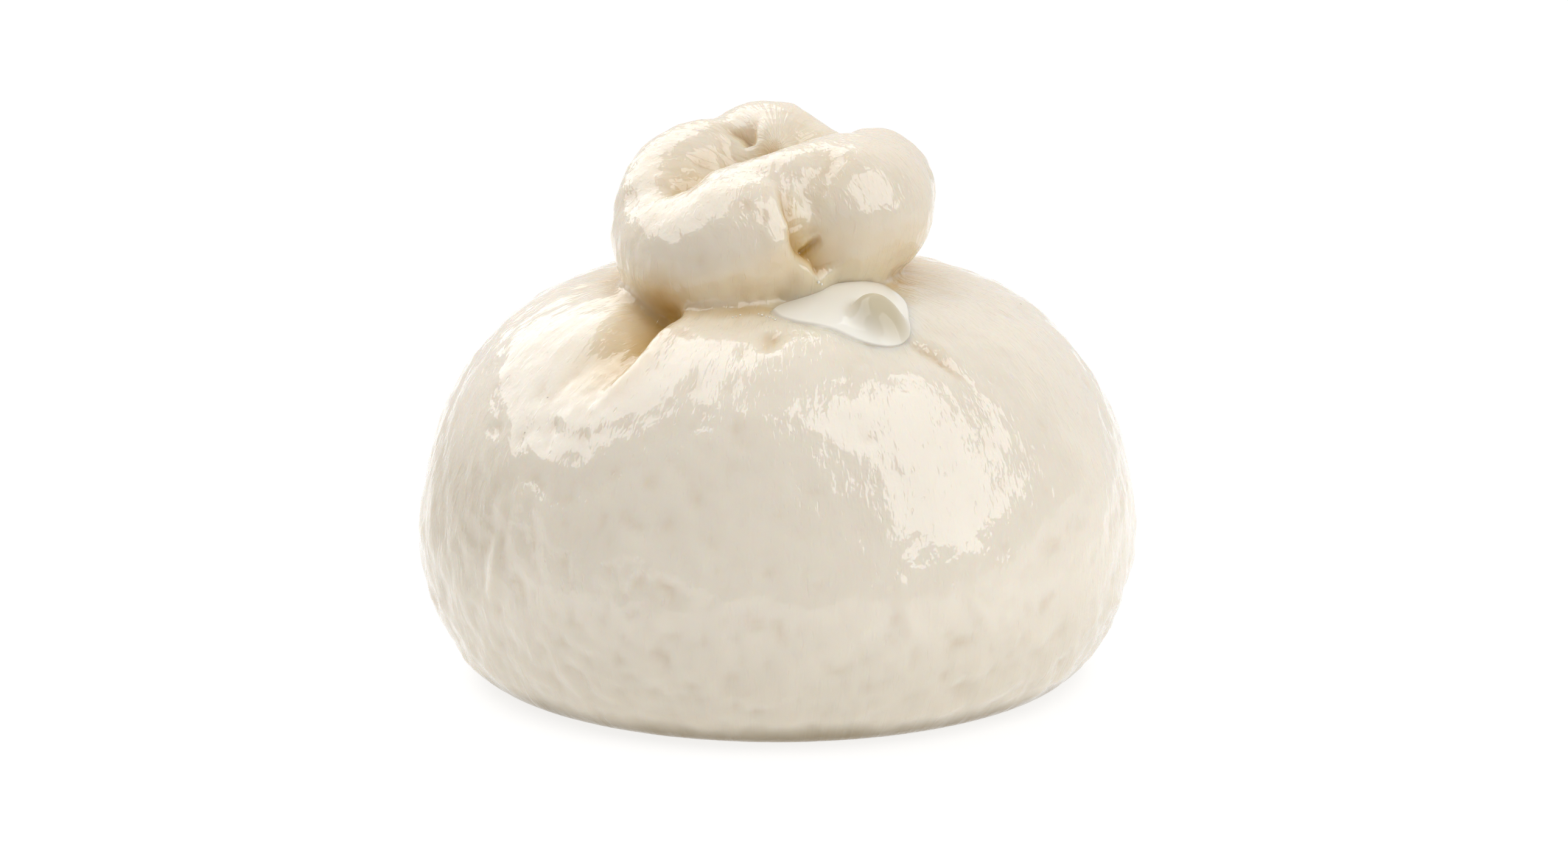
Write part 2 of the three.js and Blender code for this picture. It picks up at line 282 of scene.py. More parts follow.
# %% Knot lobes
LOBES = {
    "front strand": [
        (-13.6, -2.0, 55.6, 7.2), (-11.8, -7.6, 54.2, 7.8), (-7.6, -11.2, 54.4, 8.5),
        (-3.6, -11.2, 56.2, 8.8), (0.0, -11.8, 54.9, 7.7), (2.6, -12.0, 53.6, 5.0),
    ],
    "return strand": [
        (-13.0, -1.0, 57.8, 7.4), (-12.0, 3.2, 60.4, 6.9), (-8.0, 6.0, 62.3, 6.3),
        (-5.0, 5.0, 62.0, 5.0),
    ],
    "right lobe": [
        (3.4, -7.6, 59.4, 7.0), (5.4, -7.4, 58.8, 8.1), (7.8, -6.4, 58.8, 8.8), (10.5, -3.8, 58.9, 8.8),
        (12.0, 1.5, 60.0, 7.9),
    ],
    "rim": [
        (-4.4, -9.2, 58.6, 6.8), (-1.0, -8.6, 60.5, 5.8), (2.0, -7.8, 61.2, 5.9), (5.0, -5.8, 61.0, 6.9),
        (8.4, -2.4, 61.0, 7.1),
    ],
    "flap": [
        (-0.6, 6.2, 67.8, 2.0), (-1.1, 4.2, 66.8, 2.3), (-0.8, 2.3, 64.9, 2.5), (-0.3, 0.8, 63.4, 2.4),
    ],
    "right belly": [(4.6, -9.0, 56.5, 6.6), (8.2, -7.4, 55.8, 7.0), (10.6, -3.0, 56.4, 6.2)],
    "filling": [(0.5, -6.5, 50.0, 7.5), (2.4, -8.4, 56.5, 6.0)],
    "back lobe": [(-6.0, 8.0, 61.2, 6.6), (-1.5, 8.6, 62.4, 8.0), (3.2, 7.6, 61.0, 7.0)],
    "lower strand": [
        (-9.0, 3.0, 55.0, 7.6), (-4.0, 7.6, 55.2, 8.0), (3.0, 8.0, 55.0, 8.2), (8.4, 3.0, 54.8, 7.2),
    ],
    "flap edge": [
        (-0.4, 4.1, 68.0, 1.1), (0.1, 2.9, 66.7, 1.2), (0.6, 2.0, 65.6, 1.2), (1.3, 1.1, 64.7, 1.2),
    ],
    "core": [(0, 0, 44, 9.0), (-0.5, 1.6, 57.5, 6.8)],
}
UPRIGHT = ("core", "filling")
KNOT_BOTTOM, FAR_OFF = 38.0, 50.0


def lobe_grid(path, up=(0, 0, 1), rows=64, cap=20, around=72):
    """Strand as a function of the way along its path and the angle round it.

    Point = centre + radius (cos(a) across + sin(a) over), where across and over stand at
    right angles to the path.  Past each end the centre moves on by radius sin(t) while the
    ring shrinks by cos(t), t running to 90 degrees, which closes it as half a ball.
    """
    line = spline(path, np.linspace(0, 1, rows))
    ahead = unit(np.gradient(line[:, :3], axis=0))
    closing = np.linspace(-1, 0, cap, endpoint=False)
    turn = np.concatenate([closing, np.zeros(rows), -closing[::-1]]) * np.pi / 2
    pick = np.concatenate([np.zeros(cap, int), np.arange(rows), np.full(cap, rows - 1)])
    line, ahead = line[pick], ahead[pick]
    radius = line[:, 3:]
    centre = line[:, :3] + ahead * radius * np.sin(turn)[:, None]
    ring = radius * np.cos(turn)[:, None]
    across = unit(np.cross(ahead, np.asarray(up, float)))
    over = np.cross(across, ahead)
    angle = np.linspace(0, 2 * np.pi, around, endpoint=False)[None, :, None]
    wide = np.cos(angle) * across[:, None] + np.sin(angle) * over[:, None]
    return centre[:, None] + ring[:, None] * wide


def off_lobes(points):
    """Distance in millimetres from each point to the lobes, below 0 inside them.

    It is the least, over all lobes, of the distance to the lobe's path less its radius.
    Points below the knot count as far off, which saves measuring them.
    """
    line = np.vstack([spline(path, np.linspace(0, 1, 24)) for path in LOBES.values()])
    least = np.full(len(points), FAR_OFF)
    near = np.nonzero(points[:, 2] > KNOT_BOTTOM)[0]
    gaps = np.linalg.norm(points[near, None] - line[None, :, :3], axis=-1) - line[None, :, 3]
    least[near] = gaps.min(1)
    return least


lobes = []
for name, path in LOBES.items():
    lobes.append(closed_mesh(name, lobe_grid(path, up=(0, 1, 0) if name in UPRIGHT else (0, 0, 1))))
print("lobes:", len(lobes))

# %% [markdown]
# ## One skin
#
# The real cheese has no seams, so the pouch and lobes are joined and remeshed into one
# closed surface of small even quads.  The side of a quad, in millimetres, sets how fine a
# fold the skin can hold.

# %% Fuse the pouch and the lobes
VOXEL = 0.74


def join(pieces):
    """Makes one object of the pieces and returns it; it is the first of them."""
    bpy.ops.object.select_all(action="DESELECT")
    for piece in pieces:
        piece.select_set(True)
    bpy.context.view_layer.objects.active = pieces[0]
    bpy.ops.object.join()
    return pieces[0]


def fuse(name, pieces, voxel):
    """Joins the pieces and remeshes them into one closed surface of even quads."""
    whole = join(pieces)
    whole.name = name
    change = whole.modifiers.new("fuse", "REMESH")
    change.mode = "VOXEL"
    change.voxel_size = voxel * MM
    bpy.ops.object.modifier_apply(modifier=change.name)
    return whole


burrata = fuse("burrata_skin", [pouch] + lobes, VOXEL)
skin = burrata.data
print("fused skin:", len(skin.polygons), "faces")

# %% [markdown]
# ## Soft seams, fine folds
#
# A few rounds of averaging every point with its neighbours soften the lines where lobes
# meet, as the elastic curd does.  The knot and the pleat have finer folds than the rest, so
# their faces are cut into four, and those of the pinch and of the flap over the hole into
# four once more.

# %% Soften and refine
PINCH = [
    (0.1, -13.3, 64.5), (1.0, -16.0, 62.4), (2.0, -17.2, 60.1), (2.7, -17.6, 58.4), (3.1, -17.2, 56.2),
    (4.6, -16.3, 54.5), (5.6, -16.0, 52.2),
]
FLAP = [(-1.6, 4.2, 69.0), (-2.6, 2.4, 67.2), (-2.6, 0.0, 65.4), (0.0, 1.0, 65.8), (2.5, 3.1, 67.0)]
BESIDE_PLEAT, BESIDE_PINCH, BESIDE_LOBES = 6, 3.5, 1


def edges_of(mesh):
    """Pairs of point numbers, one row for each edge."""
    pairs = np.empty(len(mesh.edges) * 2, int)
    mesh.edges.foreach_get("vertices", pairs)
    return pairs.reshape(-1, 2)


def soften(values, pairs, rounds, share=0.5):
    """Moves every value the given share of the way to the mean of its neighbours, again and again."""
    count = np.maximum(np.bincount(pairs.ravel(), minlength=len(values)), 1)[:, None]
    for _ in range(rounds):
        total = np.stack([
            np.bincount(pairs[:, 0], column[pairs[:, 1]], len(values))
            + np.bincount(pairs[:, 1], column[pairs[:, 0]], len(values))
            for column in values.T
        ], -1)
        values = values + share * (total / count - values)
    return values


def refine(piece, inside):
    """Cuts every face whose corners are all marked inside into four, and returns the new points."""
    mesh = piece.data
    mesh.vertices.foreach_set("select", inside)
    mesh.edges.foreach_set("select", inside[edges_of(mesh)].all(1))
    mesh.polygons.foreach_set("select", np.zeros(len(mesh.polygons), bool))
    bpy.context.view_layer.objects.active = piece
    bpy.context.tool_settings.mesh_select_mode = (False, True, False)
    bpy.ops.object.mode_set(mode="EDIT")
    bpy.ops.mesh.subdivide(number_cuts=1, quadcorner="INNERVERT")
    bpy.ops.object.mode_set(mode="OBJECT")
    return read(mesh)


def near_line(points, line, reach):
    """True where a point lies within reach of the line through the given places."""
    path = spline(line, np.linspace(0, 1, 8 * len(line)))
    return (np.linalg.norm(points[:, None] - path[None], axis=-1) < reach).any(1)


points = soften(read(skin), edges_of(skin), rounds=3)
write(skin, points)
points = refine(burrata, (off_lobes(points) < BESIDE_LOBES) | near_line(points, PLEAT, BESIDE_PLEAT))
points = soften(points, edges_of(skin), rounds=2)
write(skin, points)
points = refine(burrata, near_line(points, PINCH, BESIDE_PINCH) | near_line(points, FLAP, BESIDE_PINCH))
links = edges_of(skin)
points = soften(points, links, rounds=2)
write(skin, points)
print("skin:", len(points), "points,", len(skin.polygons), "faces")

# %% [markdown]
# ## Folds, creases and ridges
#
# The smaller folds are pressed into the joined skin: the hollow and hole of the knot, the
# pinch where its strands overlap, and a few dents and stretch ridges on the pouch.  Every
# fold is measured on the smooth skin and all of them are then pressed at once, so that none
# of them leans on another and their order doesn't matter.

# %% Press the folds
# A fold given a shade number gets painted shade along its bottom, in that share.
FOLDS = [
    # hollow behind the rim, where the return strand dives under it
    dict(line=[(-15.6, -8.8, 60.0), (-13.0, -8.0, 60.9), (-10.5, -7.0, 61.8), (-8.0, -6.0, 62.8),
               (-5.4, -4.6, 63.9), (-2.6, -2.0, 65.2)],
         depth=3.6, left=8.0, right=2.0, power=1.4, ends=(0.65, 0.1), fold_shade=0.35),
    # groove under the return strand's edge, and two gathers running into the hollow
    dict(line=[(-7.3, 4.2, 68.1), (-5.8, 3.4, 67.3), (-4.3, 2.6, 66.7), (-3.4, 1.5, 65.8)],
         depth=0.9, left=1.5, right=0.9, power=1.3, ends=(0.7, 0.05), fold_shade=0.55),
    dict(line=[(-11.7, -1.9, 65.5), (-10.2, -1.9, 65.0), (-8.8, -1.2, 64.6), (-7.3, -0.7, 63.7)],
         depth=0.45, left=1.6, power=1.4, ends=(0.4, 0.4), fold_shade=0.3),
    dict(line=[(-4.5, -3.2, 64.6), (-2.0, -2.0, 65.6), (0.6, -1.6, 66.2), (3.4, -0.2, 66.8)],
         depth=1.2, left=2.6, right=1.6, power=1.4, ends=(0.3, 0.5), fold_shade=0.5),
    # valley beside the flap over the hole
    dict(line=[(-1.9, 4.4, 69.2), (-2.6, 3.2, 68.2), (-3.1, 2.0, 67.0), (-3.3, 1.0, 66.0)],
         depth=0.4, left=0.8, right=1.6, power=1.2, ends=(0.5, 0.05), fold_shade=0.3),
    # pinch between the front strand and the right lobe: slit, ridge beside it, edge that grows
    # crisp downward, and the dark groove that ends at it
    dict(line=[(0.1, -13.3, 64.5), (0.5, -14.6, 63.7), (1.0, -16.0, 62.4), (1.5, -16.9, 61.1),
               (2.0, -17.2, 60.1), (2.4, -17.4, 59.4), (2.7, -17.6, 58.4)],
         depth=0.9, left=2.2, right=1.2, power=1.2, ends=(0.5, 0.2), fold_shade=0.5),
    dict(line=[(2.0, -12.5, 64.6), (2.0, -14.3, 62.6), (2.1, -16.4, 60.7), (2.3, -17.3, 59.4)],
         depth=-0.3, left=1.3, right=1.0, power=1.3, ends=(0.4, 0.4)),
    dict(line=[(2.0, -17.2, 60.1), (2.4, -17.4, 59.4), (2.6, -17.6, 58.6), (2.8, -17.6, 57.3),
               (3.1, -17.2, 56.2), (3.8, -16.7, 55.4), (4.6, -16.3, 54.5), (5.2, -16.3, 53.5),
               (5.6, -16.0, 52.2)],
         depth=1.3, left=5.6, right=(3.2, 0.9), power=2.0, ends=(0.35, 0.15), fold_shade=0.9),
    dict(line=[(3.6, -16.9, 55.6), (4.1, -16.5, 56.2), (4.6, -16.0, 56.8), (5.1, -15.6, 57.4),
               (5.6, -15.3, 57.9)],
         depth=1.0, left=0.6, right=1.1, power=1.3, ends=(0.1, 0.7), fold_shade=1.5),
    # short dents on the front strand beside the pinch
    dict(line=[(-4.3, -16.7, 62.6), (-3.5, -17.5, 61.5), (-2.7, -18.1, 60.5)],
         depth=0.3, left=1.0, right=1.8, power=1.8, ends=(0.45, 0.45), fold_shade=0.15),
    dict(line=[(-2.2, -17.4, 61.7), (-1.6, -18.0, 60.4), (-1.1, -18.3, 59.5)],
         depth=0.25, left=1.0, right=1.8, power=1.8, ends=(0.45, 0.45), fold_shade=0.15),
    # small dents of the pouch under the cream
    dict(line=[(0.0, -24.0, 48.5), (-0.5, -26.2, 47.8), (-1.0, -28.2, 46.9), (-1.3, -29.5, 46.1)],
         depth=0.5, left=1.2, right=2.2, power=1.4, ends=(0.3, 0.5), fold_shade=0.3),
    dict(line=[(14.6, -23.6, 47.5), (18.0, -24.7, 45.7), (19.9, -25.6, 44.4), (22.0, -26.3, 42.8),
               (23.4, -26.8, 41.4)],
         depth=0.6, left=2.6, right=1.8, power=1.5, ends=(0.2, 0.5), fold_shade=0.2),
    # stretch ridges low on the pouch, and two round pimples
    dict(line=[(13.5, -41.0, 23.3), (15.1, -41.0, 18.4), (17.1, -39.3, 11.8)],
         depth=-0.45, left=1.6, power=1.4),
    dict(line=[(22.1, -37.7, 20.6), (23.9, -36.8, 17.2), (26.2, -34.6, 12.9)],
         depth=-0.4, left=1.4, power=1.4),
    dict(line=[(27.0, -33.4, 11.1), (28.2, -32.7, 11.4), (28.7, -32.6, 12.6), (27.7, -33.8, 14.1)],
         depth=-0.35, left=0.9, power=1.3),
    dict(line=[(-32.7, -28.7, 25.3), (-33.8, -28.4, 21.6), (-34.0, -28.5, 18.0), (-35.6, -25.9, 13.9)],
         depth=-0.6, left=1.6, power=1.4),
    dict(line=[(16.3, -40.4, 22.4), (16.4, -40.4, 22.0)], depth=-0.8, left=1.1, ends=(0, 0)),
    dict(line=[(41.6, -14.1, 12.6), (41.2, -14.1, 11.2)], depth=-0.9, left=2.4, power=1.6, ends=(0, 0)),
]
# Painted shade along the bottom of the deep pleat, and how far it spreads.
PLEAT_SHADE, PLEAT_SHADE_REACH = 1.05, 7.0


def shade_along(points, path, fade, reach, power):
    """Painted shade that is strongest on the path: fade (1 - distance / reach)^power."""
    near = np.nonzero((np.abs(points - path.mean(0)) < np.ptp(path, axis=0) / 2 + reach).all(1))[0]
    gaps = np.linalg.norm(points[near, None] - path[None], axis=-1)
    shade_share = np.zeros(len(points))
    shade_share[near] = fade[gaps.argmin(1)] * np.clip(1 - gaps.min(1) / reach, 0, 1) ** power
    return shade_share


presses = [press(burrata, points, **fold) for fold in FOLDS]
points = soften(points + sum(move for move, _, _ in presses), links, rounds=1)
write(skin, points)
fold_shades = np.max([shade_share for _, shade_share, _ in presses], axis=0)
fade = soft_step(np.linspace(1, 0, len(pleat_bottom)), 0, 0.85)
pleat_shade = shade_along(points, pleat_bottom, fade, PLEAT_SHADE_REACH, power=1.3)
fold_shades = np.maximum(fold_shades, PLEAT_SHADE * pleat_shade)
print("folds:", len(FOLDS))

# %% [markdown]
# ## Stretch marks and soft lumps
#
# Pulled curd is never even.  Slow swells come from the shreds inside, a finer ripple from
# the kneading, and radial stretch marks run down from the knot where the neck was drawn
# together.  Each is a sum of waves with random directions, so nothing repeats.  The ripple
# is strongest low down, where the skin bears the weight, and at the front left.

# %% Relief
SWELL, RIPPLE, FINE_RIPPLE, STRETCH_MARK = 0.16, 0.05, 0.024, 0.03
SHOULDER_RADIUS, DOWNWARD_SHARE = 40, 0.3


def waves(points, shortest, longest, count, seed):
    """Sum of cosines with random directions, phases and wavelengths, scaled to a spread of 1."""
    rng = np.random.default_rng(seed)
    ways = unit(rng.normal(size=(count, 3))) * (2 * np.pi / rng.uniform(shortest, longest, (count, 1)))
    total = np.zeros(len(points))
    for way, phase in zip(ways, rng.uniform(0, 2 * np.pi, count)):
        total += np.cos(points @ way + phase)
    return total * math.sqrt(2 / count)


def bell(points, centre, reach):
    """1 at the centre, falling to 0 with distance as exp(-(d / reach)^2)."""
    return np.exp(-((points - np.asarray(centre, float)) ** 2).sum(1) / reach**2)


def swells(points, is_knot):
    """Slow swells of the skin, weaker in the knot and none at the foot."""
    slow = SWELL * waves(points, 14, 26, count=40, seed=1)
    return slow * (1 - 0.6 * is_knot) * soft_step(points[:, 2], 0.3, 4)


def down_the_stretch(points):
    """Positions squeezed along the lines that run down from the knot.

    x and y become the direction round the axis times one radius, and z becomes a share of
    the height less the distance from the axis.
    """
    x, y, z = points.T
    out = np.hypot(x, y)
    x, y = (value / np.maximum(out, 1) * SHOULDER_RADIUS for value in (x, y))
    return np.stack([x, y, (z - out) * DOWNWARD_SHARE], -1)


x, y, z = points.T
out = np.hypot(x, y)
is_knot = 1 - soft_step(off_lobes(points), 0.3, 2.5)
stretched = down_the_stretch(points)
marks = waves(stretched * (1, 1, 0.5), 1.6, 5.0, count=40, seed=4)
patchy = 0.6 + 0.4 * waves(points, 12, 20, count=20, seed=5)
on_shoulder = soft_step(out, 14, 24) * soft_step(z, 14, 36) * (1 - is_knot)
low_down = 0.9 * (1 - soft_step(z, 10, 26)) * (1 - is_knot)
lumpy = 1.0 + 0.9 * bell(points, (-24, -34, 24), 17) + low_down
ripple = RIPPLE * waves(points, 3.5, 8, count=60, seed=2) * lumpy
ripple += FINE_RIPPLE * waves(points, 1.6, 3.2, count=60, seed=6) * lumpy
ripple += STRETCH_MARK * marks * on_shoulder * patchy
relief = swells(points, is_knot) + ripple * soft_step(z, 0.3, 4)
points = points + relief[:, None] * read(skin, "normal")
write(skin, points)
print("relief from", round(float(relief.min()), 2), "to", round(float(relief.max()), 2), "mm")

# %% [markdown]
# ## Measuring hollows
#
# Hollows and creases of the curd are painted warmer and darker, as painted shade for the light
# that bounces about in them.  Two measures find them from the shape alone: how far a point lies
# below its wider surroundings, and how closed in it is by the lobes and the dome.

# %% Creases and shelter
SHELTER_STEPS = (1.5, 3, 6, 10)
DOME_SHELTERS_WITHIN, DOME_SHELTERS_ABOVE, FREE_SHARE = 44, 30, 0.85


def keep(mesh, name, kind, values):
    """Stores one value or vector for each point under the name."""
    attribute = mesh.attributes.new(name, kind, "POINT")
    field = "value" if kind == "FLOAT" else "vector"
    attribute.data.foreach_set(field, np.asarray(values, np.float32).ravel())


def crease_depth(points, normals, links, rounds):
    """How far, in millimetres, each point lies below the average of its wider surroundings."""
    return ((soften(points, links, rounds) - points) * normals).sum(1)


def shelter(points, normals, steps=SHELTER_STEPS):
    """How closed in each point is, from 0 in the open to 1 deep in a hollow.

    Steps in millimetres go out along the normal; each adds the share by which the free
    distance from there to the lobes or the dome falls short of the step, and the mean counts.
    The dome shelters only points above its flanks.
    """
    total = np.zeros(len(points))
    for step in steps:
        ahead = points + normals * step
        x, y, z = ahead.T
        over_dome = (np.hypot(x, y) < DOME_SHELTERS_WITHIN) & (points[:, 2] > DOME_SHELTERS_ABOVE)
        free = FREE_SHARE * np.where(over_dome, z - dome_height(x, y), step * 2)
        total += np.clip(1 - np.minimum(off_lobes(ahead), free) / step, 0, 1)
    return total / len(steps)


normals = read(skin, "normal")
sheltered = shelter(points, normals)
lying_below = crease_depth(points, normals, links, rounds=25)
print("crease depth up to", round(float(lying_below.max()), 2), "mm")
print("shelter up to", round(float(sheltered.max()), 2))

# %% [markdown]
# ## What the finish needs to know
#
# Some of the finish can only be told from the shape, so it is stored on the skin, one value
# for each point: creases, with painted shade of the folds and along the line where the knot
# lies on the pouch; shelter, which paints shade in hollows and under the knot; what belongs to
# the knot; the lower part and the left flank, and the foot, which get painted shade; and how
# fibrous the curd is.  Fibres run the way the curd was pulled, down from the knot all round
# the pouch and slantwise across the knot, so two more values are positions squeezed along the
# stretch.

# %% Values stored on the skin
CREASE_FULL, CREASE_SHARE, CONTACT_SHADE = 0.6, 0.8, 0.25
SHELTER_GAIN, FACING_DOWN_GAIN, FACES_DOWN_FROM = 1.5, 1.7, 0.15
PULL, PULL_SHARE = unit(np.array((0.5, -0.1, -0.85))), 0.45


def squeezed(points, way, share):
    """Positions moved together along one direction, to the given share of their distance."""
    return points - (1 - share) * (points @ way)[:, None] * way


# Painted shade in hollows closed in by the lobes and the dome, and on the underside of the knot.
underside_shade = np.clip(FACES_DOWN_FROM - normals[:, 2], 0, 1) * is_knot
sheltered_shade = sheltered * SHELTER_GAIN + underside_shade * FACING_DOWN_GAIN
off = off_lobes(points)
# Painted shade along the line where the knot lies on the pouch.
contact_shade = CONTACT_SHADE * soft_step(off, 0.2, 0.8) * (1 - soft_step(off, 0.8, 3.5))
crease = lying_below / CREASE_FULL * CREASE_SHARE
fold_shades = soften(fold_shades[:, None], links, rounds=4)[:, 0]
# Painted shade over the lower part and the left flank, stored as the low value.
left_flank_shade = soft_step(-x, 26, 42) * (1 - soft_step(z, 26, 40))
fibrous = is_knot * (0.4 + 0.9 * soft_step(z, 55, 62)) + (1 - is_knot)
# The crease, shelter, low and foot values carry painted shade into the curd's colour.
keep(skin, "crease", "FLOAT", np.clip(np.maximum(crease, fold_shades) + contact_shade, 0, 1))
keep(skin, "shelter", "FLOAT", np.clip(sheltered_shade, 0, 1))
keep(skin, "knot", "FLOAT", is_knot)
keep(skin, "low", "FLOAT", np.maximum(1 - soft_step(z, 4, 24), left_flank_shade))
# Painted shade at the foot, where it meets the table.
keep(skin, "foot", "FLOAT", 1 - soft_step(z, 0.6, 4.0))
keep(skin, "fibrous", "FLOAT", fibrous)
keep(skin, "grain", "FLOAT_VECTOR", stretched)
keep(skin, "strand", "FLOAT_VECTOR", squeezed(points, PULL, PULL_SHARE))
print("stored on the skin:", ", ".join(item.name for item in skin.attributes if item.name[0] != "."))

# %% [markdown]
# ## The skin takes its place
#
# Faces are shaded smooth, as wet curd has no edges.  The skin then stands in for the plain
# solid of the frame and rides on the only body there is.

# %% Hand the skin over
def shade_smooth(mesh):
    """Marks every face of the mesh smooth."""
    mesh.polygons.foreach_set("use_smooth", np.ones(len(mesh.polygons), bool))


shade_smooth(skin)
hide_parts("burrata")
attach(burrata, "root")
print("skin box from", points.min(0).round(1), "to", points.max(0).round(1), "mm")

# %% [markdown]
# ## The cream
#
# A spoonful of cream has crept out from under the knot.  It lies on the dome as a thin pool
# with a rounded edge, climbs against the knot in a meniscus and ends in one fat drop.

# %% Pool surface
POOL_CENTRE = np.array((7.5, -16.0))
POOL_RIM = [
    (-1.8, -20.8), (0.2, -23.8), (3.6, -25.0), (6.9, -26.4), (10.2, -26.9), (13.6, -26.3), (15.8, -23.6),
    (16.2, -19.6), (15.5, -15.5), (13.9, -11.0), (12.6, -6.0), (6.0, -6.0), (0.0, -12.0),
]
FILM_LEFT, FILM_EXTRA_RIGHT = 0.4, 0.3
EDGE_LEFT, EDGE_EXTRA_RIGHT = 2, 2.5
CLIMB, CLIMB_REACH, KNOT_STANDS_AT = 1.7, 6.0, (7.5, -12.5)
SUNK_IN, UNDERSIDE = 0.12, 0.6
DROP = dict(x=12.5, y=-21.9, long=3.7, short=2.8, tall=2.3, power=2.4, turn=math.radians(-32))


def drop_height(x, y):
    """Round drop turned in plan: tall exp(-(a^2 + b^2)^power), a and b along its two axes."""
    dx, dy = x - DROP["x"], y - DROP["y"]
    c, s = math.cos(DROP["turn"]), math.sin(DROP["turn"])
    a = (dx * c + dy * s) / DROP["long"]
    b = (dy * c - dx * s) / DROP["short"]
    return DROP["tall"] * np.exp(-((a * a + b * b) ** DROP["power"]))


def bed_height(x, y):
    """Height of the skin under the pool: the dome with its slow swells."""
    flat = dome_height(x, y)
    return flat + swells(np.stack([x, y, flat], -1).reshape(-1, 3), 0).reshape(x.shape)


def pool_grid(rows=90, around=240):
    """Pool as a function of the way out from its centre and the angle round it.

    Thickness over the skin = f (1 - u^n) + climb exp(-(d / reach)^2) + drop (1 - u^n)^0.7,
    where u is 0 at the centre and 1 at the rim, and d is the distance from where the knot
    stands in it.  The film f is thicker on the right, and n, the power that turns its edge
    down, is higher there, which makes the edge steeper.  The underside follows the dome just
    inside the skin.
    """
    loop = POOL_RIM[-1:] + POOL_RIM + POOL_RIM[:2]
    t = (1 + np.linspace(0, len(POOL_RIM), around, endpoint=False)) / (len(loop) - 1)
    rim = spline(loop, t)
    out = np.sin(np.linspace(0, 1, rows) * np.pi / 2)[:, None]
    top = POOL_CENTRE + (rim - POOL_CENTRE)[None] * out[..., None]
    x, y = top[..., 0], top[..., 1]
    right = soft_step(x, 6, 13)
    edge = 1 - np.minimum(out, 1) ** (EDGE_LEFT + EDGE_EXTRA_RIGHT * right)
    away = (x - KNOT_STANDS_AT[0]) ** 2 + (y - KNOT_STANDS_AT[1]) ** 2
    climb = CLIMB * np.exp(-away / CLIMB_REACH**2)
    bed = bed_height(x, y)
    film = (FILM_LEFT + FILM_EXTRA_RIGHT * right) * edge
    z = bed - SUNK_IN + film + climb + drop_height(x, y) * edge**0.7
    upper = np.stack([x, y, z], -1)
    lower = upper[::-1][1:].copy()
    lower[..., 2] = bed[::-1][1:] - UNDERSIDE
    return np.vstack([upper, lower])[::-1]


pool = closed_mesh("cream_pool", pool_grid())
write(pool.data, soften(read(pool.data), edges_of(pool.data), rounds=4))
print("pool:", len(pool.data.vertices), "points")

# %% [markdown]
# ## Bubbles, and the cream takes its place
#
# A few tiny bubbles cling to the edges of the pool, each one a ball given by its centre and
# radius.  The cream keeps two values for its finish: how much of a point is drop, and how
# thick the film is, from nothing at the rim to full.

# %% Bubbles and cream
BUBBLES = [
    (-5.3, -21.1, 48.9, 0.11), (-4.9, -20.9, 49.0, 0.09), (-4.4, -20.6, 49.1, 0.11), (-2.2, -20.4, 49.2, 0.1),
    (-1.8, -20.6, 49.1, 0.14), (-1.3, -21.0, 49.0, 0.1), (-0.9, -21.2, 48.9, 0.15), (-0.5, -21.6, 48.9, 0.12),
    (-0.2, -22.0, 48.8, 0.16), (5.0, -16.2, 52.2, 0.2), (5.4, -16.0, 51.9, 0.15),
]
CLEAR_BELOW = 0.12


def ball_grid(centre, radius, rows=9, around=14):
    """Ball: centre plus radius times (sin t cos a, sin t sin a, cos t)."""
    t = np.linspace(0, np.pi, rows)[:, None]
    a = np.linspace(0, 2 * np.pi, around, endpoint=False)[None]
    way = np.stack([np.sin(t) * np.cos(a), np.sin(t) * np.sin(a), np.cos(t) + 0 * a], -1)
    return np.asarray(centre) + radius * way[::-1]


bubbles = [closed_mesh("bubble", ball_grid(centre, radius)) for *centre, radius in BUBBLES]
cream = join([pool] + bubbles)
x, y, z = read(cream.data).T
keep(cream.data, "drop", "FLOAT", drop_height(x, y) / DROP["tall"])
keep(cream.data, "film", "FLOAT", np.clip((z - bed_height(x, y)) / CLEAR_BELOW, 0, 1))
shade_smooth(cream.data)
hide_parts("cream")
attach(cream, "root")
print("cream:", len(cream.data.vertices), "points")

# %% [markdown]
# ## Shader maths written as plain expressions
#
# Shader formulas read best as formulas.  A small class wraps one socket and turns +, - and
# * into Math nodes, so the finishes below are written the way one would say them.  Every
# other node comes from one method that takes its kind, its settings and its inputs.

